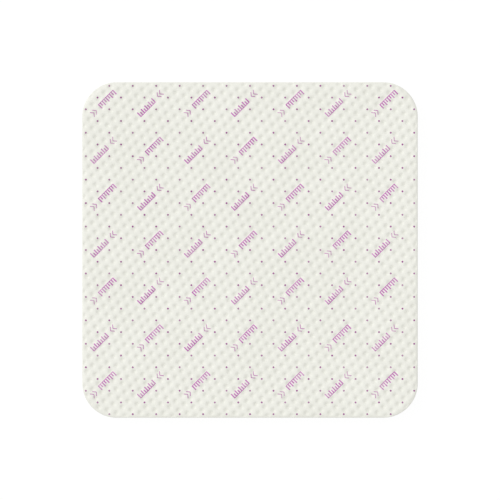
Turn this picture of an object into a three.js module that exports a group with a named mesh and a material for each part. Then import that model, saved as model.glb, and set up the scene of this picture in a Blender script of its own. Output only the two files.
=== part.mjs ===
import * as THREE from 'three';

// Silicone foam dressing: one square pad of soft foam with rounded corners.
// Its upper face is a thin film, embossed all over with small pits in slanting rows.
// Its lower face is the soft silicone face that lies on the skin, flat on z = 0.
// Lengths are in millimetres. +X is the width, +Y the length and +Z out of the film face.
// The origin is the middle of the silicone face.

// The pad
const padWidth = 100;
const padLength = 100;
const padThickness = 4;
const cornerRadius = 10.3;

// The film side's edge rolls down a little towards the side wall, from filmEdgeRoll in to
// filmEdgeDrop below the face, and the silicone side's edge is only broken
const filmEdgeRoll = 1.4;
const filmEdgeDrop = 0.45;
const siliconeEdgeRoll = 0.3;

// The embossing: rows of pits, each row half a pitch along from the last
const pitPitch = 2.5;
const rowPitch = 2.5;
const pitDepth = 0.4;
const rowSlant = THREE.MathUtils.degToRad(45);
const firstRowOffset = 1.2;
const plainBorder = 0.1;

// How finely the round edges are drawn
const cornerSteps = 12;
const filmEdgeSteps = 3;
const siliconeEdgeSteps = 1;
const fillBulge = 1e-6;

// The pad's outline, drawn in from the widest one by inset, anticlockwise from the right-hand side
function padOutline(inset) {
  const radius = cornerRadius - inset;
  const middleX = padWidth / 2 - cornerRadius;
  const middleY = padLength / 2 - cornerRadius;
  const corners = [
    [middleX, middleY],
    [-middleX, middleY],
    [-middleX, -middleY],
    [middleX, -middleY],
  ];
  return corners.flatMap(([x, y], quarter) => {
    const start = (quarter * Math.PI) / 2;
    const corner = new THREE.EllipseCurve(x, y, radius, radius, start, start + Math.PI / 2);
    return corner.getPoints(cornerSteps);
  });
}

// Whether a point of the film face is on its flat part, inside the rolled edge and the plain border
function isOnFlatFilm(point) {
  const inset = filmEdgeRoll + plainBorder;
  const radius = Math.max(cornerRadius - inset, 0);
  const pastX = Math.abs(point.x) - (padWidth / 2 - inset - radius);
  const pastY = Math.abs(point.y) - (padLength / 2 - inset - radius);
  if (pastX > 0 && pastY > 0) {
    return Math.hypot(pastX, pastY) <= radius;
  }
  return pastX <= radius && pastY <= radius;
}

// A point of the embossing's lattice: halfPitches along the rows, and thirdRows across them
function latticePoint(halfPitches, thirdRows) {
  const along = (halfPitches * pitPitch) / 2;
  const across = firstRowOffset + (thirdRows * rowPitch) / 3;
  return new THREE.Vector2(along, -across).rotateAround(new THREE.Vector2(), rowSlant);
}

// The six rim corners of a pit's cell, anticlockwise, as steps of half a pitch and a third of a row
const rimSteps = [
  [1, -1],
  [0, -2],
  [-1, -1],
  [-1, 1],
  [0, 2],
  [1, 1],
];

// The lattice places of all pits whose whole cell lies on the flat part of the film
function pitPlaces() {
  const reach = Math.hypot(padWidth, padLength) / 2 + Math.abs(firstRowOffset);
  const rows = Math.ceil(reach / rowPitch);
  const halfPitches = Math.ceil((2 * reach) / pitPitch);
  const places = [];
  for (let row = -rows; row <= rows; row++) {
    for (let along = -halfPitches; along <= halfPitches; along++) {
      const isPit = (along + row) % 2 === 0;
      const rim = rimSteps.map(([a, b]) => latticePoint(along + a, 3 * row + b));
      if (isPit && rim.every(isOnFlatFilm)) {
        places.push([along, 3 * row]);
      }
    }
  }
  return places;
}

// Collects corners and triangles, and hands the same corner back for the same name
class Surface {
  positions = [];
  triangles = [];
  named = new Map();

  addPoint(point, height) {
    this.positions.push(point.x, point.y, height);
    return this.positions.length / 3 - 1;
  }

  addNamedPoint(name, point, height) {
    if (!this.named.has(name)) {
      this.named.set(name, this.addPoint(point, height));
    }
    return this.named.get(name);
  }

  // A corner seen from above, with a slight bulge that grows towards the middle of each side,
  // so that corners in one straight line around the pits never make an empty triangle
  bulgedPoint(corner) {
    const point = new THREE.Vector2(this.positions[3 * corner], this.positions[3 * corner + 1]);
    return point.multiplyScalar(1 - fillBulge * point.lengthSq());
  }

  addTriangle(a, b, c) {
    this.triangles.push(a, b, c);
  }

  addRing(inset, height) {
    return padOutline(inset).map((point) => this.addPoint(point, height));
  }

  // A wall between an upper ring and the lower one, facing outwards
  joinRings(upper, lower) {
    upper.forEach((corner, k) => {
      const next = (k + 1) % upper.length;
      this.addTriangle(corner, lower[k], lower[next]);
      this.addTriangle(corner, lower[next], upper[next]);
    });
  }

  // A flat face inside a ring and outside the holes in it, facing up or down
  fillFace(ring, holes, facesUp) {
    const corners = [...ring, ...holes.flat()];
    const points = (loop) => loop.map((corner) => this.bulgedPoint(corner));
    const faces = THREE.ShapeUtils.triangulateShape(points(ring), holes.map(points));
    for (const face of faces) {
      const [a, b, c] = face.map((k) => corners[k]);
      const isAnticlockwise = THREE.ShapeUtils.area(points([a, b, c])) > 0;
      if (isAnticlockwise === facesUp) {
        this.addTriangle(a, b, c);
      } else {
        this.addTriangle(a, c, b);
      }
    }
  }

  geometry() {
    const geometry = new THREE.BufferGeometry();
    geometry.setAttribute('position', new THREE.Float32BufferAttribute(this.positions, 3));
    geometry.setIndex(this.triangles);
    geometry.computeVertexNormals();
    return geometry;
  }
}

// The loops around the embossed area, from the cells' edges that no second cell shares
function loopsAround(cells) {
  const nextCorner = new Map();
  for (const rim of cells) {
    rim.forEach((corner, k) => {
      const next = rim[(k + 1) % rim.length];
      if (nextCorner.get(next)?.has(corner)) {
        nextCorner.get(next).delete(corner);
      } else {
        nextCorner.set(corner, (nextCorner.get(corner) ?? new Set()).add(next));
      }
    });
  }
  const loops = [];
  for (const [start, nexts] of nextCorner) {
    const loop = [];
    let corner = start;
    let leaving = nexts;
    while (leaving?.size) {
      loop.push(corner);
      const [next] = leaving;
      leaving.delete(next);
      corner = next;
      leaving = nextCorner.get(corner);
    }
    if (loop.length) {
      loops.push(loop);
    }
  }
  return loops;
}

// The embossed film: each pit goes down from its cell's rim to one point. Returns the loops around it
function embossFilm(surface) {
  const cells = pitPlaces().map(([along, across]) => {
    const bottom = surface.addPoint(latticePoint(along, across), padThickness - pitDepth);
    const rim = rimSteps.map(([a, b]) => {
      const name = `${along + a}/${across + b}`;
      return surface.addNamedPoint(name, latticePoint(along + a, across + b), padThickness);
    });
    rim.forEach((corner, k) => surface.addTriangle(bottom, corner, rim[(k + 1) % rim.length]));
    return rim;
  });
  return loopsAround(cells);
}

function dressingGeometry() {
  const surface = new Surface();
  const rings = [];
  for (let step = 0; step <= filmEdgeSteps; step++) {
    const turn = (step / filmEdgeSteps) * (Math.PI / 2);
    const inset = filmEdgeRoll * (1 - Math.sin(turn));
    rings.push(surface.addRing(inset, padThickness - filmEdgeDrop * (1 - Math.cos(turn))));
  }
  for (let step = 0; step <= siliconeEdgeSteps; step++) {
    const turn = (step / siliconeEdgeSteps) * (Math.PI / 2);
    const inset = siliconeEdgeRoll * (1 - Math.cos(turn));
    rings.push(surface.addRing(inset, siliconeEdgeRoll * (1 - Math.sin(turn))));
  }
  rings.slice(1).forEach((lower, k) => surface.joinRings(rings[k], lower));
  surface.fillFace(rings[0], embossFilm(surface), true);
  surface.fillFace(rings.at(-1), [], false);
  return surface.geometry();
}

const filmMaterial = new THREE.MeshStandardMaterial({
  color: 0xecece3,
  roughness: 0.55,
  metalness: 0,
});

const foamDressing = new THREE.Mesh(dressingGeometry(), filmMaterial);
foamDressing.name = 'foam_dressing';

const dressing = new THREE.Group();
dressing.add(foamDressing);

export default dressing;
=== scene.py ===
import math

import bpy
from bpy.props import FloatProperty, FloatVectorProperty, IntProperty, PointerProperty
from mathutils import Matrix, Vector
from mathutils.geometry import delaunay_2d_cdt


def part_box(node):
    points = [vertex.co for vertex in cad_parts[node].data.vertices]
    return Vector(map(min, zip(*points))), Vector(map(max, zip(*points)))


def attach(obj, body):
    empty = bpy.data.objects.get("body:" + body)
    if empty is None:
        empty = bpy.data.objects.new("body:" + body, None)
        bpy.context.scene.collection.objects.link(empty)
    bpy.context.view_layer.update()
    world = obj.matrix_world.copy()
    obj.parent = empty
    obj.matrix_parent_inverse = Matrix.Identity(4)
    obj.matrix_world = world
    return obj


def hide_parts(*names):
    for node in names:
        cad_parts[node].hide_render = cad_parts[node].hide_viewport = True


# A silicone foam dressing: a square pad of soft white foam with rounded corners.
# Its upper face is a thin film, embossed with slanting rows of pits and printed in purple.
# Its lower face is the plain silicone face. All lengths are in metres.

bl_info = {
    "name": "Silicone foam dressing",
    "version": (1, 0, 0),
    "blender": (4, 5, 0),
    "location": "View3D > Sidebar > Dressing",
    "description": "Makes an embossed and printed foam wound dressing",
    "category": "Add Mesh",
}

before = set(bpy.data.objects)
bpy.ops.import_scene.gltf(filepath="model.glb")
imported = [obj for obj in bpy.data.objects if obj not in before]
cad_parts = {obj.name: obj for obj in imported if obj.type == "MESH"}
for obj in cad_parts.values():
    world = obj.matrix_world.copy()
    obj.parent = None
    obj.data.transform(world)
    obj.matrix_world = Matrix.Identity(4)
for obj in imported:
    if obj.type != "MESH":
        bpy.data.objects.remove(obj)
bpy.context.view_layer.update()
pad_low, pad_high = (Vector(corner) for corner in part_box("foam_dressing"))
pad_size = pad_high - pad_low

MM = 0.001
BODY = "root"


def screen_colour(red, green, blue):
    """A colour given as it looks on a screen, from 0 to 255, as the linear colour that Blender uses."""
    shares = [value / 255 for value in (red, green, blue)]
    return tuple(s / 12.92 if s <= 0.04045 else ((s + 0.055) / 1.055) ** 2.4 for s in shares)


def length_property(name, default, description):
    return FloatProperty(
        name=name, default=default, description=description, min=0, unit="LENGTH", precision=5
    )


def colour_property(name, default, description):
    return FloatVectorProperty(
        name=name, default=default, description=description, subtype="COLOR", min=0, max=1
    )


def angle_property(name, degrees, description):
    angle = math.radians(degrees)
    return FloatProperty(name=name, default=angle, description=description, subtype="ANGLE")


def share_property(name, default, description):
    return FloatProperty(
        name=name, default=default, description=description, subtype="FACTOR", min=0, max=1
    )


def count_property(name, default, description):
    return IntProperty(name=name, default=default, description=description, min=1)


class PadSizes(bpy.types.PropertyGroup):
    """The pad's own sizes"""

    width: length_property("Pad Width", pad_size.x, "Size of the pad along X")
    length: length_property("Pad Length", pad_size.y, "Size of the pad along Y")
    thickness: length_property("Pad Thickness", pad_size.z, "Size of the pad from face to face")
    corner_radius: length_property("Corner Radius", 10.3 * MM, "Radius of the four corners")
    film_roll: length_property("Film Edge Roll", 1.4 * MM, "How far in the film's edge rolls over")
    film_drop: length_property("Film Edge Drop", 0.45 * MM, "How far down the film's edge rolls")
    silicone_roll: length_property("Silicone Edge Roll", 0.3 * MM, "Radius of the lower edge")
    mesh_step: length_property("Edge Step", 0.33 * MM, "Distance between points along the edge")
    cell_size: length_property("Foam Cell Size", 0.7 * MM, "Size of the cells in the cut foam")
    cell_depth: length_property("Foam Cell Depth", 0.1 * MM, "Depth of the cells in the cut foam")


class EmbossSizes(bpy.types.PropertyGroup):
    """The sizes of the film's embossing"""

    pit_pitch: length_property("Pit Pitch", 2.5 * MM, "Distance between the pits of one row")
    row_pitch: length_property("Row Pitch", 2.5 * MM, "Distance between the rows of pits")
    pit_width: length_property("Pit Width", 2.3 * MM, "Width of a pit at its rim")
    pit_depth: length_property("Pit Depth", 0.4 * MM, "Depth of a pit")
    pit_fade: length_property("Pit Fade", 0.8 * MM, "How far in from the edge the pits are shallower")
    first_row: length_property("First Row", 1.2 * MM, "Distance of the first row from the middle")
    row_slant: angle_property("Row Slant", 45, "Angle of the rows of pits")


class PrintSizes(bpy.types.PropertyGroup):
    """The sizes of what is printed on the film"""

    ink_body: length_property("Ink Thickness", 0.06 * MM, "Thickness of the ink, half of it in the film")
    dot_pitch: length_property("Dot Pitch", 6.99 * MM, "Distance between two dots in a line across")
    dot_width: length_property("Dot Width", 0.55 * MM, "Width of a dot")
    mark_pitch: length_property("Mark Pitch", 13.98 * MM, "Distance between two marks in a line across")
    mark_shift: length_property("Mark Shift", 1.75 * MM, "How far the marks are off the pad's middle")
    scale_start: FloatProperty(
        name="Scale Start",
        default=-4.7 * MM,
        description="Where a mark's scale starts along the mark",
        unit="LENGTH",
    )
    tick_pitch: length_property("Tick Pitch", 0.75 * MM, "Distance between the ticks of a scale")
    tick_width: length_property("Tick Width", 0.34 * MM, "Width of a tick")
    tick_length: length_property("Tick Length", 1.6 * MM, "Length of every second tick")
    short_tick: length_property("Short Tick", 1.1 * MM, "Length of the ticks between them")
    line_width: length_property("Scale Line", 0.2 * MM, "Width of the line that the ticks stand on")
    chevron_start: length_property("Chevron Start", 3 * MM, "Where a mark's first chevron is")
    chevron_pitch: length_property("Chevron Pitch", 1 * MM, "Distance between the two chevrons")
    chevron_arm: length_property("Chevron Arm", 1.2 * MM, "Length of a chevron's arm")
    chevron_width: length_property("Chevron Stroke", 0.24 * MM, "Width of a chevron's stroke")
    chevron_slant: angle_property("Chevron Slant", 50, "Angle of a chevron's arms to the mark")
    tick_count: count_property("Tick Count", 9, "How many ticks a scale has")
    chevron_count: count_property("Chevron Count", 2, "How many chevrons follow a scale")
    marks_across: count_property("Marks Across", 7, "How many marks there are each way")


class DressingColours(bpy.types.PropertyGroup):
    """The colours of the dressing and the floor"""

    film: colour_property("Film", screen_colour(239, 239, 231), "The film over the foam")
    # Film Shade is both the film's mottled tone and the painted shade in its pits and on its rim
    film_shade: colour_property("Film Shade", screen_colour(231, 231, 222), "Where the film is denser")
    foam: colour_property("Foam", screen_colour(238, 236, 226), "The cut edge of the foam")
    # Foam Shade is painted shade inside the foam's open cells
    foam_shade: colour_property("Foam Shade", screen_colour(190, 186, 172), "The foam's open cells")
    silicone: colour_property("Silicone", screen_colour(236, 233, 222), "The silicone face")
    silicone_shade: colour_property(
        "Silicone Shade", screen_colour(212, 208, 194), "The foam's cells seen through the silicone"
    )
    dot_ink: colour_property("Dot Ink", screen_colour(146, 34, 134), "The dots' dark ink")
    scale_ink: colour_property("Scale Ink", screen_colour(187, 89, 178), "The scales' ink")
    chevron_ink: colour_property("Chevron Ink", screen_colour(188, 120, 179), "The chevrons' pale ink")
    floor: colour_property("Floor", screen_colour(235, 235, 235), "The floor")


class StageSizes(bpy.types.PropertyGroup):
    """The camera, the lamp and the floor"""

    view_width: length_property("View Width", 149.05 * MM, "Width that the camera sees")
    camera_height: length_property("Camera Height", 3.0, "Height of the camera over the floor")
    camera_reach: length_property("Camera Reach", 100.0, "How far the camera sees")
    floor_width: length_property("Floor Width", 4.0, "Width of the floor")
    floor_gap: length_property("Floor Gap", 0.05 * MM, "How far the floor is below the pad")
    floor_lip: length_property("Floor Lip", 1 * MM, "How far the floor reaches in under the pad")
    lamp_turn: angle_property("Lamp Turn", 150, "Direction of the lamp around the pad, from +X")
    lamp_rise: angle_property("Lamp Rise", 35, "Height of the lamp over the floor, as an angle")
    lamp_spread: angle_property("Lamp Spread", 28, "Width of the lamp, which softens its shadows")
    lamp_share: share_property("Lamp Share", 0.2, "How much of the pad's light the lamp gives")
    shadow_share: share_property("Shadow Share", 0.12, "How strongly the floor shows its shadow")


class Field:
    """A number worked out in a node tree, so that a tree's sums can be written as plain sums"""

    def __init__(self, maker, socket):
        self.maker = maker
        self.socket = socket

    def __add__(self, other):
        return self.maker.math("ADD", self, other)

    def __sub__(self, other):
        return self.maker.math("SUBTRACT", self, other)

    def __rsub__(self, other):
        return self.maker.math("SUBTRACT", other, self)

    def __mul__(self, other):
        return self.maker.math("MULTIPLY", self, other)

    def __truediv__(self, other):
        return self.maker.math("DIVIDE", self, other)

    def __rtruediv__(self, other):
        return self.maker.math("DIVIDE", other, self)

    def __neg__(self):
        return self * -1


class TreeMaker:
    """Adds nodes to one node tree, and links or sets their inputs"""

    def __init__(self, tree):
        self.tree = tree

    def node(self, kind, inputs=None, **settings):
        """A new node. The inputs are given by name or number, as a value or as what feeds them."""
        node = self.tree.nodes.new(kind)
        for name, value in settings.items():
            setattr(node, name, value)
        for key, value in (inputs or {}).items():
            self.feed(node.inputs[key], value)
        return node

    def feed(self, socket, value):
        if isinstance(value, Field):
            value = value.socket
        if isinstance(value, bpy.types.NodeSocket):
            self.tree.links.new(value, socket)
        else:
            socket.default_value = value

    def math(self, operation, *values):
        node = self.node("ShaderNodeMath", dict(enumerate(values)), operation=operation)
        return Field(self, node.outputs[0])

    def ease(self, value, start, end, at_start, at_end, interpolation="SMOOTHSTEP"):
        """Goes from at_start to at_end while value goes from start to end."""
        inputs = {"Value": value, 1: start, 2: end, 3: at_start, 4: at_end}
        node = self.node("ShaderNodeMapRange", inputs, interpolation_type=interpolation)
        return Field(self, node.outputs[0])

    def vector(self, x=0, y=0, z=0):
        return self.node("ShaderNodeCombineXYZ", {"X": x, "Y": y, "Z": z}).outputs[0]

    def parts(self, vector):
        node = self.node("ShaderNodeSeparateXYZ", {0: vector})
        return [Field(self, output) for output in node.outputs]

    def length_of(self, x, y):
        inputs = {0: self.vector(x, y)}
        node = self.node("ShaderNodeVectorMath", inputs, operation="LENGTH")
        return Field(self, node.outputs["Value"])

    def noise(self, coordinates, size, detail):
        """Soft noise from 0 to 1, with lumps of about the given size."""
        inputs = {"Vector": coordinates, "Scale": 1 / size, "Detail": detail}
        return Field(self, self.node("ShaderNodeTexNoise", inputs).outputs[0])

    def cells(self, coordinates, size):
        """How far each point is from the middle of its cell, as a share of the cells' size."""
        inputs = {"Vector": coordinates, "Scale": 1 / size}
        return Field(self, self.node("ShaderNodeTexVoronoi", inputs).outputs["Distance"])

    def mix(self, share, first, second):
        """A colour between two colours."""
        inputs = {0: share, 6: (*first, 1), 7: (*second, 1)}
        return self.node("ShaderNodeMix", inputs, data_type="RGBA").outputs[2]


class GeometryMaker(TreeMaker):
    """A geometry node tree with one named input for each size of the given groups of sizes"""

    def __init__(self, name, sizes, outputs, with_geometry=False):
        super().__init__(bpy.data.node_groups.new(name, "GeometryNodeTree"))
        face = self.tree.interface
        if with_geometry:
            face.new_socket("Geometry", in_out="INPUT", socket_type="NodeSocketGeometry")
        for size_name, value in named_sizes(sizes).items():
            kind = "NodeSocketInt" if isinstance(value, int) else "NodeSocketFloat"
            face.new_socket(size_name, in_out="INPUT", socket_type=kind)
        for output_name, kind in outputs.items():
            face.new_socket(output_name, in_out="OUTPUT", socket_type=kind)
        self.inputs = self.node("NodeGroupInput").outputs
        self.result = self.node("NodeGroupOutput").inputs
        self.position = self.node("GeometryNodeInputPosition").outputs[0]

    def size(self, name):
        return Field(self, self.inputs[name])

    def film(self, film_tree):
        """The film's height, inset and pressing at each point, from the tree that works them out."""
        node = self.node("GeometryNodeGroup", node_tree=film_tree)
        for socket in node.inputs:
            self.feed(socket, self.inputs[socket.name])
        return {output.name: Field(self, output) for output in node.outputs}

    def move(self, geometry, position, selection=True):
        inputs = {"Geometry": geometry, "Selection": selection, "Position": position}
        return self.node("GeometryNodeSetPosition", inputs).outputs[0]

    def transform(self, geometry, translation=(0, 0, 0), rotation=(0, 0, 0)):
        inputs = {"Geometry": geometry, "Translation": translation, "Rotation": rotation}
        return self.node("GeometryNodeTransform", inputs).outputs[0]

    def join(self, *geometries):
        node = self.node("GeometryNodeJoinGeometry")
        for geometry in geometries:
            self.feed(node.inputs[0], geometry)
        return node.outputs[0]

    def compare(self, operation, first, second):
        inputs = {0: first, 1: second}
        node = self.node("FunctionNodeCompare", inputs, data_type="FLOAT", operation=operation)
        return node.outputs[0]

    def every_second(self):
        """1 for every second point, and 0 for the others."""
        index = self.node("GeometryNodeInputIndex").outputs[0]
        return self.math("FLOORED_MODULO", index, 2)

    def grid(self, spans, counts):
        """Points in a flat grid around the middle, with its span and its count given for X and Y."""
        inputs = {
            "Size X": spans[0],
            "Size Y": spans[1],
            "Vertices X": counts[0],
            "Vertices Y": counts[1],
        }
        return self.node("GeometryNodeMeshGrid", inputs).outputs[0]

    def row(self, count, start, pitch):
        """Points in a row along X."""
        inputs = {"Count": count, "Start Location": start, "Offset": self.vector(pitch)}
        return self.node("GeometryNodeMeshLine", inputs).outputs[0]

    def copies(self, points, shape, inputs=None):
        """A copy of the shape on each of the points."""
        inputs = {"Points": points, "Instance": shape, **(inputs or {})}
        return self.node("GeometryNodeInstanceOnPoints", inputs).outputs[0]

    def stroke(self, length, width, height):
        """A flat bar of ink along X, fine enough to follow the embossing."""
        step = 0.3 * MM
        size = self.vector(length, width, height)
        inputs = {"Size": size, "Vertices X": self.math("CEIL", length / step) + 1}
        return self.node("GeometryNodeMeshCube", inputs).outputs[0]

    def lay_ink(self, shapes, film_tree, material):
        """Instances laid on the film as plain meshes of ink, following its pits and its edge."""
        shapes = self.node("GeometryNodeRealizeInstances", {0: shapes}).outputs[0]
        x, y, z = self.parts(self.position)
        height = self.film(film_tree)["Height"]
        shapes = self.move(shapes, self.vector(x, y, height + z))
        self.finish(self.crease(shapes), material)

    def crease(self, geometry):
        """Smooth faces with their sharp edges left sharp."""
        least_sharp = math.radians(50)
        angle = self.node("GeometryNodeInputMeshEdgeAngle").outputs[0]
        inputs = {0: geometry, "Shade Smooth": self.compare("LESS_THAN", angle, least_sharp)}
        return self.node("GeometryNodeSetShadeSmooth", inputs, domain="EDGE").outputs[0]

    def finish(self, geometry, material):
        inputs = {"Geometry": geometry, "Material": material}
        painted = self.node("GeometryNodeSetMaterial", inputs).outputs[0]
        self.feed(self.result[0], painted)


def named_sizes(groups):
    """The sizes of the given property groups, by the names that a person sees."""
    return {
        size.name: getattr(group, size.identifier)
        for group in groups
        for size in group.bl_rna.properties
        if size.type in {"FLOAT", "INT"}
    }


def run_nodes(piece, tree, sizes):
    """Runs a geometry node tree on a piece, and leaves the piece as a plain mesh."""
    modifier = piece.modifiers.new(tree.name, "NODES")
    modifier.node_group = tree
    values = named_sizes(sizes)
    for socket in tree.interface.items_tree:
        if socket.name in values:
            modifier[socket.identifier] = values[socket.name]
    evaluated = piece.evaluated_get(bpy.context.evaluated_depsgraph_get())
    mesh = bpy.data.meshes.new_from_object(evaluated)
    if not mesh.polygons:
        raise RuntimeError(f"{tree.name} made no faces")
    piece.modifiers.remove(modifier)
    piece.data = mesh
    mesh.name = piece.name


def add_piece(name, vertices=(), faces=()):
    mesh = bpy.data.meshes.new(name)
    mesh.from_pydata(vertices, [], faces)
    piece = bpy.data.objects.new(name, mesh)
    bpy.context.scene.collection.objects.link(piece)
    return piece


# The film's height, shared by the pad and all that is printed on it


def film_height_tree(sizes):
    """Works out the height of the film, its inset from the pad's outline, and how deep the embossing
    presses it.
    """
    outputs = {name: "NodeSocketFloat" for name in ("Height", "Inset", "Pressed")}
    maker = GeometryMaker("Film height", sizes, outputs)
    inset = inset_field(maker)
    pressing_and_painted_shade = pressed_field(maker, inset)
    into_roll = maker.math("MAXIMUM", 1 - inset / maker.size("Film Edge Roll"), 0)
    still_up = maker.math("SQRT", maker.math("MAXIMUM", 1 - into_roll * into_roll, 0))
    drop = (1 - still_up) * maker.size("Film Edge Drop")
    height = maker.size("Pad Thickness") - drop - pressing_and_painted_shade * maker.size("Pit Depth")
    for socket, value in zip(maker.result, (height, inset, pressing_and_painted_shade)):
        maker.feed(socket, value)
    return maker.tree


def inset_field(maker):
    """How far each point is inside the pad's outline, seen from above."""
    x, y, _ = maker.parts(maker.position)
    radius = maker.size("Corner Radius")
    past_x = maker.math("ABSOLUTE", x) - (maker.size("Pad Width") / 2 - radius)
    past_y = maker.math("ABSOLUTE", y) - (maker.size("Pad Length") / 2 - radius)
    outside = [maker.math("MAXIMUM", past, 0) for past in (past_x, past_y)]
    inside = maker.math("MINIMUM", maker.math("MAXIMUM", past_x, past_y), 0)
    return radius - maker.length_of(*outside) - inside


def pressed_field(maker, inset):
    """How deep the embossing presses each point down, from 0 on the land to 1 in a pit."""
    angle = -maker.size("Row Slant")
    inputs = {"Vector": maker.position, "Angle": angle}
    turned = maker.node("ShaderNodeVectorRotate", inputs, rotation_type="Z_AXIS").outputs[0]
    along, back, _ = maker.parts(turned)
    across = -back - maker.size("First Row")
    row = maker.math("ROUND", across / maker.size("Row Pitch"))
    from_row = across - row * maker.size("Row Pitch")
    pitch = maker.size("Pit Pitch")
    shifted = along - maker.math("FLOORED_MODULO", row, 2) * pitch / 2
    from_pit = shifted - maker.math("ROUND", shifted / pitch) * pitch
    pit = maker.ease(maker.length_of(from_pit, from_row), 0, maker.size("Pit Width") / 2, 1, 0)
    return pit * maker.ease(inset, 0, maker.size("Pit Fade"), 0, 1)


# The pad


def outline(pad, inset):
    """The pad's outline drawn in by inset, anticlockwise, with as many points at every inset."""
    radius = pad.corner_radius - inset
    middle = Vector((pad.width / 2 - pad.corner_radius, pad.length / 2 - pad.corner_radius))
    corners = [Vector((middle.x * x, middle.y * y)) for x, y in ((1, 1), (-1, 1), (-1, -1), (1, -1))]
    quarter_turn = math.pi / 2
    arc_steps = round(pad.corner_radius * quarter_turn / pad.mesh_step)
    points = []
    for quarter, corner in enumerate(corners):
        for step in range(arc_steps + 1):
            angle = (quarter + step / arc_steps) * quarter_turn
            points.append(corner + radius * Vector((math.cos(angle), math.sin(angle))))
        side_start = points[-1]
        side_end = side_start - corner + corners[(quarter + 1) % len(corners)]
        side_steps = round((side_end - side_start).length / pad.mesh_step)
        points += [side_start.lerp(side_end, step / side_steps) for step in range(1, side_steps)]
    return points


def inset_at(pad, point):
    """How far a point is inside the pad's outline."""
    past_x = abs(point.x) - (pad.width / 2 - pad.corner_radius)
    past_y = abs(point.y) - (pad.length / 2 - pad.corner_radius)
    outside = math.hypot(max(past_x, 0), max(past_y, 0))
    return pad.corner_radius - outside - min(max(past_x, past_y), 0)


def pit_centres(pad, emboss):
    """The middles of all the pits on the pad, in rows that each start half a pitch further on."""
    reach = math.hypot(pad.width, pad.length) / 2 + emboss.first_row
    rows = math.ceil(reach / emboss.row_pitch)
    pits = math.ceil(reach / emboss.pit_pitch) + 1
    turn = Matrix.Rotation(emboss.row_slant, 2)
    centres = []
    for row in range(-rows, rows + 1):
        for pit in range(-pits, pits + 1):
            along = (pit + row % 2 / 2) * emboss.pit_pitch
            across = emboss.first_row + row * emboss.row_pitch
            centres.append(turn @ Vector((along, -across)))
    return [centre for centre in centres if inset_at(pad, centre) > -emboss.pit_width / 2]


def pit_points(emboss, centre):
    """Points in rings on one pit, and the two points of land beside it."""
    # For each ring, its share of the pit's radius and how many points it has
    rings = ((0.0, 1), (0.28, 6), (0.53, 9), (0.78, 12), (1.03, 13))
    points = []
    for share, count in rings:
        for step in range(count):
            angle = (step + 0.5) * 2 * math.pi / count
            arm = Vector((math.cos(angle), math.sin(angle))) * share * emboss.pit_width / 2
            points.append(centre + arm)
    turn = Matrix.Rotation(emboss.row_slant, 2)
    # The land's corners lie half a pitch along and a third of a row above and below
    for side in (-1, 1):
        land = Vector((emboss.pit_pitch / 2, side * emboss.row_pitch / 3))
        points.append(centre + turn @ land)
    return points


def fill_ring(ring, points):
    """Triangles over a ring and the loose points inside it, numbered from the ring's first point."""
    # In millimetres, so that nearness is far below the smallest step between two points
    scaled = [point / MM for point in [*ring, *points]]
    nearness = 1e-5
    ring_face = list(range(len(ring)))
    only_inside = 1
    corners, _, faces, sources, _, _ = delaunay_2d_cdt(
        scaled, [], [ring_face], only_inside, nearness
    )
    if len(corners) != len(scaled):
        raise RuntimeError("a face of the pad lost or gained points")
    return [[sources[corner][0] for corner in face] for face in faces]


class Shell:
    """Collects the pad's points and faces, with the region of the pad that each face belongs to"""

    def __init__(self):
        self.vertices = []
        self.faces = []
        self.regions = []

    def add_points(self, points, height):
        start = len(self.vertices)
        self.vertices += [(point.x, point.y, height) for point in points]
        return range(start, len(self.vertices))

    def add_faces(self, faces, region):
        self.faces += faces
        self.regions += [region] * len(faces)

    def join_rings(self, upper, lower, region):
        count = len(upper)
        steps = [(step, (step + 1) % count) for step in range(count)]
        self.add_faces([(upper[a], lower[a], lower[b], upper[b]) for a, b in steps], region)


FILM, FOAM, SILICONE = range(3)


def pad_shell(pad, emboss):
    """The pad's closed shell with a flat film: the pits and the cells are pressed in by a node tree."""
    shell = Shell()
    roll_steps = 7
    wall_steps = 8
    lower_steps = 3

    rings = []
    for step in range(roll_steps + 1):
        turn = step / roll_steps * math.pi / 2
        ring = outline(pad, pad.film_roll * (1 - math.sin(turn)))
        height = pad.thickness - pad.film_drop * (1 - math.cos(turn))
        rings.append((shell.add_points(ring, height), FILM))
    wall_top = pad.thickness - pad.film_drop
    for step in range(1, wall_steps + 1):
        height = wall_top + (pad.silicone_roll - wall_top) * step / wall_steps
        rings.append((shell.add_points(outline(pad, 0), height), FOAM))
    for step in range(1, lower_steps + 1):
        turn = step / lower_steps * math.pi / 2
        ring = outline(pad, pad.silicone_roll * (1 - math.cos(turn)))
        height = pad.silicone_roll * (1 - math.sin(turn))
        rings.append((shell.add_points(ring, height), SILICONE))
    for (upper, _), (lower, region) in zip(rings, rings[1:]):
        shell.join_rings(upper, lower, region)

    centres = pit_centres(pad, emboss)
    film_points = [point for centre in centres for point in pit_points(emboss, centre)]
    fill_face(shell, pad, rings[0], pad.film_roll, film_points, facing_up=True)
    fill_face(shell, pad, rings[-1], pad.silicone_roll, centres, facing_up=False)
    return shell


def fill_face(shell, pad, ring, inset, points, facing_up):
    """Fills a face of the pad inside its ring, through the points that are clear of the ring."""
    corners, region = ring
    height = shell.vertices[corners[0]][2]
    margin = pad.mesh_step / 2
    inner = [point for point in points if inset_at(pad, point) > inset + margin]
    numbers = [*corners, *shell.add_points(inner, height)]
    edge = [Vector(shell.vertices[corner][:2]) for corner in corners]
    faces = [[numbers[corner] for corner in face] for face in fill_ring(edge, inner)]
    shell.add_faces(faces if facing_up else [face[::-1] for face in faces], region)


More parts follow.
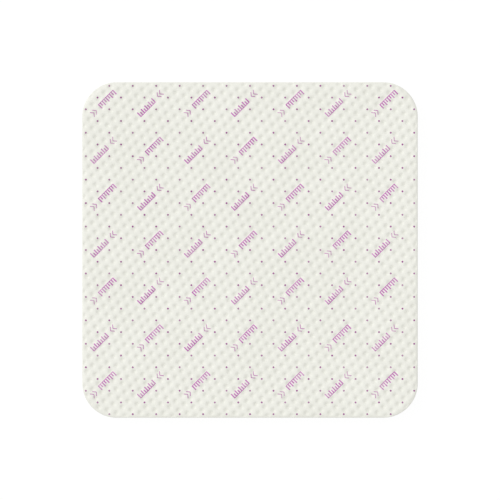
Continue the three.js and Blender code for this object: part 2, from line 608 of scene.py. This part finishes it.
def pad_tree(sizes, film_tree, materials):
    """Presses the pits into the film, opens the foam's cells in its cut edge and paints the regions."""
    outputs = {"Geometry": "NodeSocketGeometry"}
    maker = GeometryMaker("Embossed pad", sizes, outputs, with_geometry=True)
    film = maker.film(film_tree)
    x, y, z = maker.parts(maker.position)
    wall_top = maker.size("Pad Thickness") - maker.size("Film Edge Drop")
    rounding = 0.01 * MM
    on_film = maker.compare("GREATER_THAN", z, wall_top - rounding)
    # Keeps the share of painted shade in the pits and on the rim, for the film's colour
    pad = store_painted_shade(maker, maker.inputs["Geometry"], film, on_film)
    # The wall first, because the film's own points are told by their height
    pad = open_cells(maker, pad, z, wall_top)
    pad = maker.move(pad, maker.vector(x, y, film["Height"]), on_film)
    pad = maker.node("GeometryNodeSetShadeSmooth", {0: pad}, domain="FACE").outputs[0]
    maker.feed(maker.result[0], paint_regions(maker, pad, materials))
    return maker.tree


def store_painted_shade(maker, pad, film, on_film):
    """Keeps with each point the film's painted shade, for the film's colour: the share of its pit's
    depth, and a band along its rolled rim.
    """
    # Painted shade along the film's rolled rim too, at most half as strong as in a pit
    rim_shade_share = 0.5
    rim = maker.ease(film["Inset"], 0, maker.size("Film Edge Roll"), rim_shade_share, 0)
    # This share darkens the film's colour: painted shade in the pits and on the rolled rim
    pressing_and_painted_shade = maker.math("MAXIMUM", film["Pressed"], rim) * Field(maker, on_film)
    inputs = {"Geometry": pad, "Name": "pressing_and_painted_shade", "Value": pressing_and_painted_shade}
    return maker.node("GeometryNodeStoreNamedAttribute", inputs, domain="POINT").outputs[0]


def open_cells(maker, pad, z, wall_top):
    """Sinks the foam's open cells into the cut edge, less and less towards the two faces."""
    # A cell is open as far as its rim, and has its full depth between the two heights
    cell_rim = 0.6
    deep_from = 0.6 * MM
    deep_to = wall_top - 0.3 * MM
    cells = maker.cells(maker.position, maker.size("Foam Cell Size"))
    open_cell = maker.ease(cells, 0, cell_rim, 1, 0)
    below_film = maker.ease(z, deep_to, wall_top, 1, 0, "LINEAR")
    off_base = maker.ease(z, maker.size("Silicone Edge Roll"), deep_from, 0, 1, "LINEAR")
    depth = -maker.size("Foam Cell Depth") * open_cell * below_film * off_base
    inputs = {0: maker.node("GeometryNodeInputNormal").outputs[0], "Scale": depth}
    push = maker.node("ShaderNodeVectorMath", inputs, operation="SCALE").outputs[0]
    inputs = {"Geometry": pad, "Offset": push}
    return maker.node("GeometryNodeSetPosition", inputs).outputs[0]


def paint_regions(maker, pad, materials):
    """Gives each region of the pad its own material."""
    node = maker.node("GeometryNodeInputNamedAttribute", {"Name": "region"}, data_type="INT")
    for number, material in enumerate(materials):
        in_region = maker.compare("EQUAL", node.outputs[0], number)
        inputs = {"Geometry": pad, "Selection": in_region, "Material": material}
        pad = maker.node("GeometryNodeSetMaterial", inputs).outputs[0]
    return pad


# The print


def dots_tree(sizes, film_tree, material):
    """Round dots of ink like the dark squares of a chessboard, as far as the outline lets them."""
    maker = GeometryMaker("Printed dots", sizes, {"Geometry": "NodeSocketGeometry"})
    step = maker.size("Dot Pitch") / 2
    width = maker.size("Dot Width")
    sides = 12
    grid = checker_grid(maker, maker.size("Pad Width"), maker.size("Pad Length"), step)
    inputs = {"Radius": width / 2, "Depth": maker.size("Ink Thickness"), "Vertices": sides}
    dot = maker.node("GeometryNodeMeshCylinder", inputs, fill_type="TRIANGLE_FAN").outputs[0]
    inside = maker.compare("GREATER_THAN", maker.film(film_tree)["Inset"], width)
    dots = maker.copies(grid, dot, {"Selection": inside})
    maker.lay_ink(dots, film_tree, material)
    return maker.tree


def checker_grid(maker, width, length, step):
    """Every second point of a grid around the middle, which has an odd number of points each way."""
    counts = [maker.math("FLOOR", size / 2 / step) * 2 + 1 for size in (width, length)]
    spans = [(count - 1) * step for count in counts]
    is_odd = maker.compare("GREATER_THAN", maker.every_second(), 0.5)
    inputs = {"Geometry": maker.grid(spans, counts), "Selection": is_odd}
    return maker.node("GeometryNodeDeleteGeometry", inputs, domain="POINT").outputs[0]


def mark_places(maker):
    """The middles of the marks, and the turn of each one, which is reversed for every second mark."""
    count = maker.size("Marks Across")
    span = (count - 1) * maker.size("Mark Pitch")
    grid = maker.grid((span, span), (count, count))
    shift = maker.size("Mark Shift")
    grid = maker.transform(grid, translation=maker.vector(-shift, shift))
    is_even = 1 - maker.every_second()
    angle = maker.size("Row Slant") + is_even * math.pi
    euler = maker.vector(0, 0, angle)
    turn = maker.node("FunctionNodeEulerToRotation", {0: euler}).outputs[0]
    return grid, turn


def print_marks(maker, mark, film_tree, material):
    """Lays one copy of a mark on each of the marks' places."""
    grid, turn = mark_places(maker)
    maker.lay_ink(maker.copies(grid, mark, {"Rotation": turn}), film_tree, material)
    return maker.tree


def scales_tree(sizes, film_tree, material):
    """Small measuring scales: a row of long and short ticks that stand on a line."""
    maker = GeometryMaker("Printed scales", sizes, {"Geometry": "NodeSocketGeometry"})
    ink = maker.size("Ink Thickness")
    width = maker.size("Tick Width")
    long_tick = maker.size("Tick Length")
    count = maker.size("Tick Count")
    pitch = maker.size("Tick Pitch")
    quarter_turn = (0, 0, math.pi / 2)
    foot = -long_tick / 2
    tick = maker.transform(maker.stroke(long_tick, width, ink), rotation=quarter_turn)
    tick = maker.transform(tick, translation=maker.vector(0, -foot))
    places = maker.row(count, maker.vector(maker.size("Scale Start"), foot), pitch)
    shrink = 1 - maker.every_second() * (1 - maker.size("Short Tick") / long_tick)
    ticks = maker.copies(places, tick, {"Scale": maker.vector(1, shrink, 1)})
    line = maker.stroke((count - 1) * pitch + width, maker.size("Scale Line"), ink)
    middle = maker.size("Scale Start") + (count - 1) * pitch / 2
    line = maker.transform(line, translation=maker.vector(middle, foot))
    return print_marks(maker, maker.join(ticks, line), film_tree, material)


def chevrons_tree(sizes, film_tree, material):
    """Fine chevrons, one behind the other, after each scale."""
    maker = GeometryMaker("Printed chevrons", sizes, {"Geometry": "NodeSocketGeometry"})
    arm_length = maker.size("Chevron Arm")
    slant = maker.size("Chevron Slant")
    arm = maker.stroke(arm_length, maker.size("Chevron Stroke"), maker.size("Ink Thickness"))
    arm = maker.transform(arm, translation=maker.vector(arm_length / 2))
    arms = [maker.transform(arm, rotation=maker.vector(0, 0, angle)) for angle in (slant, -slant)]
    start = maker.vector(maker.size("Chevron Start"))
    places = maker.row(maker.size("Chevron Count"), start, maker.size("Chevron Pitch"))
    chevrons = maker.copies(places, maker.join(*arms))
    return print_marks(maker, chevrons, film_tree, material)


# The finishes


def new_material(name):
    """A material with an empty surface, its tree's maker and its object coordinates."""
    material = bpy.data.materials.new(name)
    material.use_nodes = True
    material.node_tree.nodes.clear()
    maker = TreeMaker(material.node_tree)
    coordinates = maker.node("ShaderNodeTexCoord").outputs["Object"]
    return material, maker, coordinates


def cover(maker, inputs):
    """Ends a material with the surface that the given inputs describe."""
    surface = maker.node("ShaderNodeBsdfPrincipled", inputs)
    maker.node("ShaderNodeOutputMaterial", {"Surface": surface.outputs[0]})


def relief(maker, height, depth):
    """Small relief in the light alone, for what is finer than the mesh."""
    inputs = {"Height": height, "Distance": depth}
    return maker.node("ShaderNodeBump", inputs).outputs[0]


def vary(maker, noise, least, most):
    """Goes from least to most as soft noise goes from its usual low to its usual high."""
    usual_low = 0.3
    usual_high = 0.7
    return maker.ease(noise, usual_low, usual_high, least, most)


def film_material(colours):
    """Satin film drawn over foam: faintly mottled, with painted shade in its pits and along its rolled
    rim.
    """
    mottle_size = 9 * MM
    mottle_levels = (0.35, 0.65)
    mottle_share = 0.35
    cell_size = 0.5 * MM
    cell_levels = (0.35, 0.7)
    cell_share = 0.4
    painted_shade_share = 0.95
    crinkle_size = 0.9 * MM
    crinkle_depth = 0.05 * MM
    material, maker, place = new_material("embossed film")
    mottle = maker.noise(place, mottle_size, detail=3.0)
    cells = maker.noise(place, cell_size, detail=3.0)
    crinkle = maker.noise(place, crinkle_size, detail=4.0)
    pressing_and_painted_shade = maker.node("ShaderNodeAttribute", attribute_name="pressing_and_painted_shade").outputs["Fac"]
    share = maker.ease(mottle, *mottle_levels, 0, mottle_share)
    share = share + maker.ease(cells, *cell_levels, 0, cell_share)
    # Painted shade in the pits and on the rolled rim, from the share stored on the pad
    share = share + Field(maker, pressing_and_painted_shade) * painted_shade_share
    cover(
        maker,
        {
            "Base Color": maker.mix(share, colours.film, colours.film_shade),
            "Roughness": vary(maker, crinkle, least=0.42, most=0.6),
            "Normal": relief(maker, crinkle, crinkle_depth),
        },
    )
    return material


def foam_material(colours):
    """Cut foam: open cells, with painted shade inside them."""
    cell_size = 0.45 * MM
    cell_levels = (0.1, 0.6)
    cell_depth = 0.12 * MM
    grain_size = 0.2 * MM
    material, maker, place = new_material("cut foam")
    open_cell = maker.ease(maker.cells(place, cell_size), *cell_levels, 1, 0)
    grain = maker.noise(place, grain_size, detail=3.0)
    cover(
        maker,
        {
            # Painted shade inside the open cells, broken up by the grain
            "Base Color": maker.mix(open_cell * grain, colours.foam, colours.foam_shade),
            "Roughness": vary(maker, grain, least=0.75, most=0.9),
            "Normal": relief(maker, open_cell, -cell_depth),
        },
    )
    return material


def silicone_material(colours):
    """The silicone face: a soft, slightly glossy skin with the foam's cells showing through."""
    cell_size = 0.9 * MM
    cell_levels = (0.05, 0.55)
    cell_depth = 0.05 * MM
    patch_size = 6 * MM
    material, maker, place = new_material("soft silicone")
    open_cell = maker.ease(maker.cells(place, cell_size), *cell_levels, 1, 0)
    patches = maker.noise(place, patch_size, detail=3.0)
    share = open_cell * vary(maker, patches, least=0.3, most=1)
    cover(
        maker,
        {
            "Base Color": maker.mix(share, colours.silicone, colours.silicone_shade),
            "Roughness": vary(maker, patches, least=0.28, most=0.4),
            "Normal": relief(maker, open_cell, -cell_depth),
        },
    )
    return material


def ink_material(name, ink, film):
    """Ink that lies a little thinner in places, and more so on some shapes than on others."""
    coverage_size = 0.4 * MM
    coverage_levels = (0.4, 0.75)
    coverage_share = 0.12
    pressure_size = 3 * MM
    pressure_levels = (0.35, 0.65)
    pressure_share = 0.2
    material, maker, place = new_material(name)
    coverage = maker.noise(place, coverage_size, detail=2.0)
    pressure = maker.noise(place, pressure_size, detail=1.0)
    thin = maker.ease(coverage, *coverage_levels, 0, coverage_share)
    thin = thin + maker.ease(pressure, *pressure_levels, 0, pressure_share)
    roughness = vary(maker, coverage, least=0.5, most=0.65)
    cover(maker, {"Base Color": maker.mix(thin, ink, film), "Roughness": roughness})
    return material


def floor_material(colours, stage):
    """A pale floor that the camera sees as white, with the shadow on it kept."""
    tone_size = 0.3
    shade_level = 0.98
    # A little over white, so that only the pad's shadow takes the floor below it
    glow_strength = 1.05
    material, maker, place = new_material("floor")
    tone = maker.noise(place, tone_size, detail=1.0)
    shade = [value * shade_level for value in colours.floor]
    colour = maker.mix(tone, colours.floor, shade)
    plain = maker.node("ShaderNodeBsdfDiffuse", {"Color": colour}).outputs[0]
    glow = maker.node("ShaderNodeEmission", {"Strength": glow_strength}).outputs[0]
    seen = maker.node("ShaderNodeMixShader", {0: stage.shadow_share, 1: glow, 2: plain}).outputs[0]
    inputs = {0: seen_ray(maker), 1: plain, 2: seen}
    surface = maker.node("ShaderNodeMixShader", inputs).outputs[0]
    maker.node("ShaderNodeOutputMaterial", {"Surface": surface})
    return material


def seen_ray(maker):
    """1 for what the camera sees straight, in a reflection or through glass, and 0 for light."""
    path = maker.node("ShaderNodeLightPath").outputs
    rays = [path["Is Camera Ray"], path["Is Glossy Ray"], path["Is Transmission Ray"]]
    straight, glossy, through = rays
    either = maker.math("MAXIMUM", straight, glossy)
    return maker.math("MAXIMUM", either, through)


# The operators


def settings():
    scene = bpy.context.scene
    return scene.dressing_pad, scene.dressing_emboss, scene.dressing_print, scene.dressing_colours


def film_tree():
    """The one tree that works out the film's height, made when it is first asked for."""
    pad, emboss, _, _ = settings()
    return bpy.data.node_groups.get("Film height") or film_height_tree([pad, emboss])


def add_print(name, make_tree, material):
    """Adds one piece of print, which rides on the pad."""
    pad, emboss, ink, _ = settings()
    sizes = [pad, emboss, ink]
    piece = add_piece(name)
    run_nodes(piece, make_tree(sizes, film_tree(), material), sizes)
    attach(piece, BODY)


class DRESSING_OT_pad(bpy.types.Operator):
    """Makes the foam pad with its embossed film and its silicone face"""

    bl_idname = "dressing.pad"
    bl_label = "Foam Pad"

    def execute(self, context):
        pad, emboss, _, colours = settings()
        shell = pad_shell(pad, emboss)
        piece = add_piece("foam_pad", shell.vertices, shell.faces)
        region = piece.data.attributes.new("region", "INT", "FACE")
        region.data.foreach_set("value", shell.regions)
        materials = [film_material(colours), foam_material(colours), silicone_material(colours)]
        run_nodes(piece, pad_tree([pad, emboss], film_tree(), materials), [pad, emboss])
        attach(piece, BODY)
        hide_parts("foam_dressing")
        return {"FINISHED"}


class DRESSING_OT_dots(bpy.types.Operator):
    """Prints the dots on the film"""

    bl_idname = "dressing.dots"
    bl_label = "Printed Dots"

    def execute(self, context):
        colours = context.scene.dressing_colours
        material = ink_material("dot ink", colours.dot_ink, colours.film)
        add_print("printed_dots", dots_tree, material)
        return {"FINISHED"}


class DRESSING_OT_marks(bpy.types.Operator):
    """Prints the marks on the film, each a small scale followed by two chevrons"""

    bl_idname = "dressing.marks"
    bl_label = "Printed Marks"

    def execute(self, context):
        colours = context.scene.dressing_colours
        bold = ink_material("scale ink", colours.scale_ink, colours.film)
        pale = ink_material("chevron ink", colours.chevron_ink, colours.film)
        add_print("printed_scales", scales_tree, bold)
        add_print("printed_chevrons", chevrons_tree, pale)
        return {"FINISHED"}


class DRESSING_OT_stage(bpy.types.Operator):
    """Makes the floor, the soft light and the camera that looks straight down"""

    bl_idname = "dressing.stage"
    bl_label = "Floor, Light and Camera"

    def execute(self, context):
        scene = context.scene
        stage = scene.dressing_stage
        add_floor(scene, stage)
        add_lamp(stage)
        add_sky(scene, stage)
        add_camera(scene, stage)
        scene.view_settings.view_transform = "Standard"
        return {"FINISHED"}


def add_floor(scene, stage):
    """A round floor, left open under the pad so that the silicone face can be seen from below."""
    inner = outline(scene.dressing_pad, stage.floor_lip)
    outer = [point.normalized() * stage.floor_width / 2 for point in inner]
    vertices = [(point.x, point.y, -stage.floor_gap) for point in (*inner, *outer)]
    count = len(inner)
    steps = [(step, (step + 1) % count) for step in range(count)]
    floor = add_piece("floor", vertices, [(a, a + count, b + count, b) for a, b in steps])
    floor.data.materials.append(floor_material(scene.dressing_colours, stage))


def add_lamp(stage):
    """One wide, soft and distant lamp, low enough to shade the pits."""
    data = bpy.data.lights.new("soft lamp", "SUN")
    data.angle = stage.lamp_spread
    # The strength that lights a level white surface as much as the lamp's share says
    data.energy = stage.lamp_share * math.pi / math.sin(stage.lamp_rise)
    lamp = bpy.data.objects.new("soft lamp", data)
    flat = math.cos(stage.lamp_rise)
    direction = Vector(
        (
            flat * math.cos(stage.lamp_turn),
            flat * math.sin(stage.lamp_turn),
            math.sin(stage.lamp_rise),
        )
    )
    lamp.location = direction
    lamp.rotation_euler = direction.to_track_quat("Z", "Y").to_euler()
    bpy.context.scene.collection.objects.link(lamp)


def add_sky(scene, stage):
    """Even white light from all round, seen as plain white."""
    world = bpy.data.worlds.new("white room")
    world.use_nodes = True
    world.node_tree.nodes.clear()
    maker = TreeMaker(world.node_tree)
    strength = maker.ease(seen_ray(maker), 0, 1, 1 - stage.lamp_share, 1, "LINEAR")
    light = maker.node("ShaderNodeBackground", {"Color": (1, 1, 1, 1), "Strength": strength})
    maker.node("ShaderNodeOutputWorld", {"Surface": light.outputs[0]})
    scene.world = world


def add_camera(scene, stage):
    """A long lens straight above the pad, with +Y up in the picture."""
    data = bpy.data.cameras.new("camera")
    outline_height = pad_size.z - scene.dressing_pad.film_drop
    data.lens = data.sensor_width * (stage.camera_height - outline_height) / stage.view_width
    data.clip_end = stage.camera_reach
    camera = bpy.data.objects.new("camera", data)
    camera.location = (0, 0, stage.camera_height)
    scene.collection.objects.link(camera)
    scene.camera = camera


class DRESSING_PT_panel(bpy.types.Panel):
    """Lists the dressing's sizes and colours, and makes its pieces"""

    bl_idname = "DRESSING_PT_panel"
    bl_label = "Foam Dressing"
    bl_space_type = "VIEW_3D"
    bl_region_type = "UI"
    bl_category = "Dressing"

    def draw(self, context):
        for name in GROUPS:
            box = self.layout.box()
            group = getattr(context.scene, name)
            for prop in group.bl_rna.properties:
                if prop.identifier in group.__annotations__:
                    box.prop(group, prop.identifier)
        for operator in OPERATORS:
            self.layout.operator(operator.bl_idname)


GROUPS = {
    "dressing_pad": PadSizes,
    "dressing_emboss": EmbossSizes,
    "dressing_print": PrintSizes,
    "dressing_colours": DressingColours,
    "dressing_stage": StageSizes,
}
OPERATORS = (DRESSING_OT_pad, DRESSING_OT_dots, DRESSING_OT_marks, DRESSING_OT_stage)
CLASSES = (*GROUPS.values(), *OPERATORS, DRESSING_PT_panel)


def register():
    for item in CLASSES:
        bpy.utils.register_class(item)
    for name, group in GROUPS.items():
        setattr(bpy.types.Scene, name, PointerProperty(type=group))


def unregister():
    for name in GROUPS:
        delattr(bpy.types.Scene, name)
    for item in reversed(CLASSES):
        bpy.utils.unregister_class(item)


def main():
    register()
    bpy.ops.dressing.pad()
    bpy.ops.dressing.dots()
    bpy.ops.dressing.marks()
    bpy.ops.dressing.stage()


if __name__ == "__main__":
    main()
